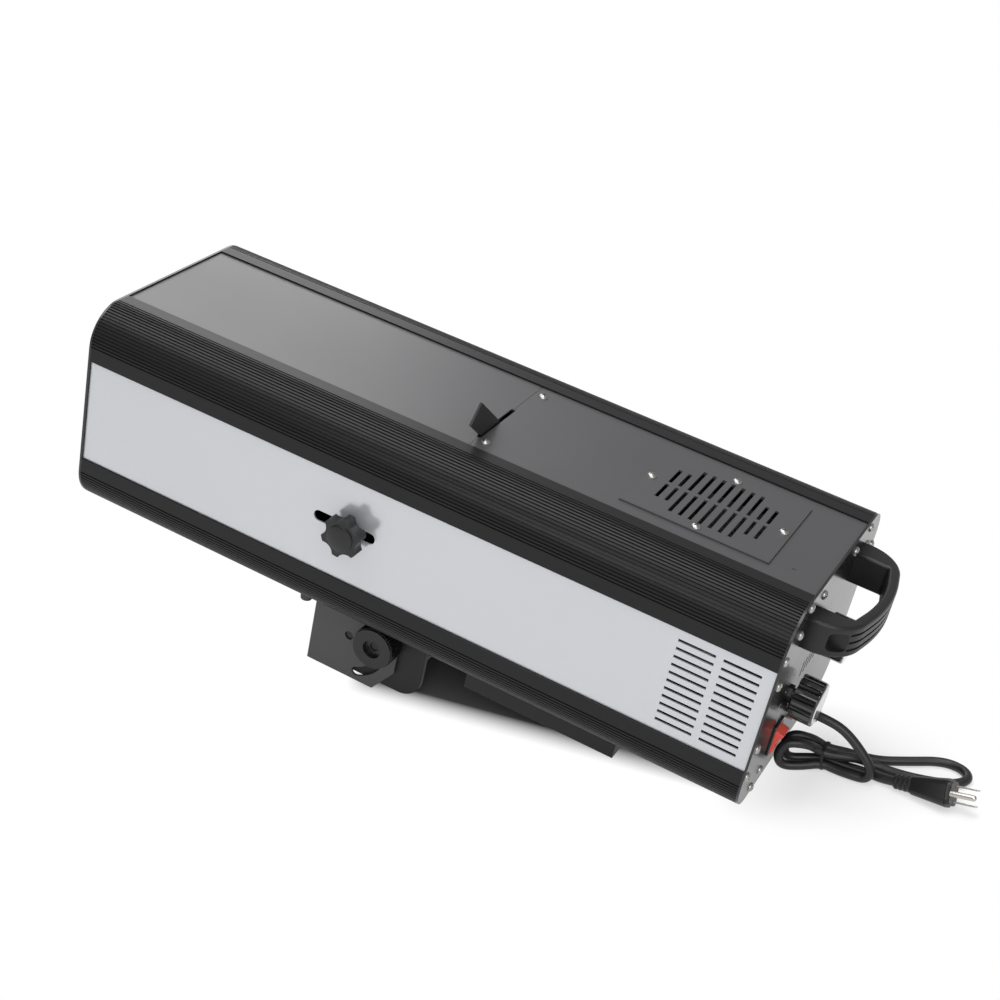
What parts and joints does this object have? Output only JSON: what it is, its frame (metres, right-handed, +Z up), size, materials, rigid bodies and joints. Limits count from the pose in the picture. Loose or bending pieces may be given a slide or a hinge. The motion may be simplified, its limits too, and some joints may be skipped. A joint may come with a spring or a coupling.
{
  "type": "followspot lamp",
  "caption": "Long ribbed aluminium lamp house on a tilting yoke, with focus knob, dowser lever, rear handle, control dials, rocker switch and tied mains lead.",
  "frame": {"origin": "middle of the underside of the box round the lamp, its free mains lead left out, on the floor it lies on", "axes": "+X to the lens end along the floor, +Y to the lamp's left (the focus knob's side), +Z up; the beam leans up by the lamp's stored pitch of 12.67 degrees"},
  "size_m": [0.7955, 0.248, 0.3267],
  "materials": {
    "black_paint": "black powder coat, satin",
    "black_rail": "black anodised ribbed extrusion",
    "grey_panel": "silver-grey paint, satin",
    "gloss_black": "gloss black paint",
    "steel": "bright zinc-plated steel",
    "matte_plastic": "matt black moulded nylon",
    "gloss_plastic": "semi-gloss black plastic",
    "rocker_red": "red gloss plastic",
    "optical_glass": "clear polished glass",
    "aluminium": "plain machined or extruded aluminium",
    "black_aluminium": "matt black anodised turned aluminium",
    "circuit_board": "green solder-masked board with black parts",
    "driver_case": "plain aluminium case of the lamp supply",
    "foot_rubber": "black rubber",
    "cord_rubber": "black rubber-sheathed flexible lead",
    "tie_plastic": "black nylon tie",
    "bright_metal": "bright nickel plate"
  },
  "bodies": {
    "housing": {"bottom_panel": "black_paint", "cable_gland": "matte_plastic", "cable_tie": "tie_plastic", "condenser_barrel": "aluminium", "condenser_lens": "optical_glass", "control_board": "circuit_board", "cord_hank": "cord_rubber", "cord_lead": "cord_rubber", "cover_screws": "steel", "dowser_pin": "steel", "driver_box": "black_paint", "ear_left": "black_paint", "ear_right": "black_paint", "ear_screws": "steel", "end_screws": "steel", "engine_bulkhead": "black_paint", "fan_frame": "matte_plastic", "feet": "foot_rubber", "front_bulkhead": "black_paint", "front_lens": "optical_glass", "front_lens_barrel": "black_aluminium", "front_lens_ring": "black_aluminium", "front_panel": "gloss_black", "fuse_holder": "bright_metal", "gate_bulkhead": "black_paint", "guide_rods": "steel", "heatsink": "aluminium", "led_driver": "driver_case", "led_module": "circuit_board", "plug_body": "cord_rubber", "plug_prongs": "bright_metal", "potentiometers": "matte_plastic", "rail_bottom_left": "black_rail", "rail_bottom_right": "black_rail", "rail_top_left": "black_rail", "rail_top_right": "black_rail", "rear_handle": "matte_plastic", "rear_panel": "gloss_black", "side_panel_left": "grey_panel", "side_panel_right": "grey_panel", "switch_housing": "gloss_plastic", "top_cover_front": "black_paint", "top_cover_rear": "black_paint", "vent_plate": "black_paint"},
    "yoke": {"yoke": "black_paint", "tilt_pins": "steel", "tilt_washers": "steel", "wheel_bolts": "steel"},
    "wheel_left": {"wheel_left": "matte_plastic"},
    "wheel_right": {"wheel_right": "matte_plastic"},
    "focus_carriage": {"lens_carriage": "aluminium", "focus_lens": "optical_glass", "focus_stud": "steel", "focus_washer": "steel"},
    "focus_knob": {"focus_knob": "matte_plastic"},
    "dowser_lever": {"dowser_lever": "black_paint"},
    "dimmer_dial": {"dimmer_dial": "gloss_plastic"},
    "strobe_dial": {"strobe_dial": "gloss_plastic"},
    "power_rocker": {"power_rocker": "rocker_red"},
    "fan_rotor": {"fan_rotor": "matte_plastic"}
  },
  "joints": [
    {"name": "yoke_tilt", "type": "hinge", "parent": "housing", "child": "yoke", "pos_m": [0.09971, -0.009, 0.04767], "axis": [0, -1, 0], "range_deg": [-3, 90]},
    {"name": "wheel_left_turn", "type": "hinge", "parent": "yoke", "child": "wheel_left", "pos_m": [0.06495, 0.077, 0.05318], "axis": [0, 1, 0], "range_deg": [0, 360]},
    {"name": "wheel_right_turn", "type": "hinge", "parent": "yoke", "child": "wheel_right", "pos_m": [0.06495, -0.095, 0.05318], "axis": [0, -1, 0], "range_deg": [0, 360]},
    {"name": "focus_slide", "type": "slide", "parent": "housing", "child": "focus_carriage", "axis": [0.9756, 0, 0.2193], "range_m": [-0.019, 0.032]},
    {"name": "focus_knob_turn", "type": "hinge", "parent": "focus_carriage", "child": "focus_knob", "pos_m": [0.0667, 0.116, 0.17626], "axis": [0, 1, 0], "range_deg": [0, 360]},
    {"name": "dowser_swing", "type": "hinge", "parent": "housing", "child": "dowser_lever", "pos_m": [-0.01336, -0.009, 0.22826], "axis": [0.9756, 0, 0.2193], "range_deg": [0, 52]},
    {"name": "dimmer_turn", "type": "hinge", "parent": "housing", "child": "dimmer_dial", "pos_m": [-0.30636, 0.036, 0.0804], "axis": [-0.9756, 0, -0.2193], "range_deg": [-150, 150]},
    {"name": "strobe_turn", "type": "hinge", "parent": "housing", "child": "strobe_dial", "pos_m": [-0.31426, -0.009, 0.11552], "axis": [-0.9756, 0, -0.2193], "range_deg": [-150, 150]},
    {"name": "power_rocker_tip", "type": "hinge", "parent": "housing", "child": "power_rocker", "pos_m": [-0.27839, 0.0383, 0.04261], "axis": [0, 1, 0], "range_deg": [0, 30]},
    {"name": "fan_spin", "type": "hinge", "parent": "housing", "child": "fan_rotor", "pos_m": [-0.23722, -0.009, 0.10568], "axis": [0.9756, 0, 0.2193], "continuous": true}
  ]
}
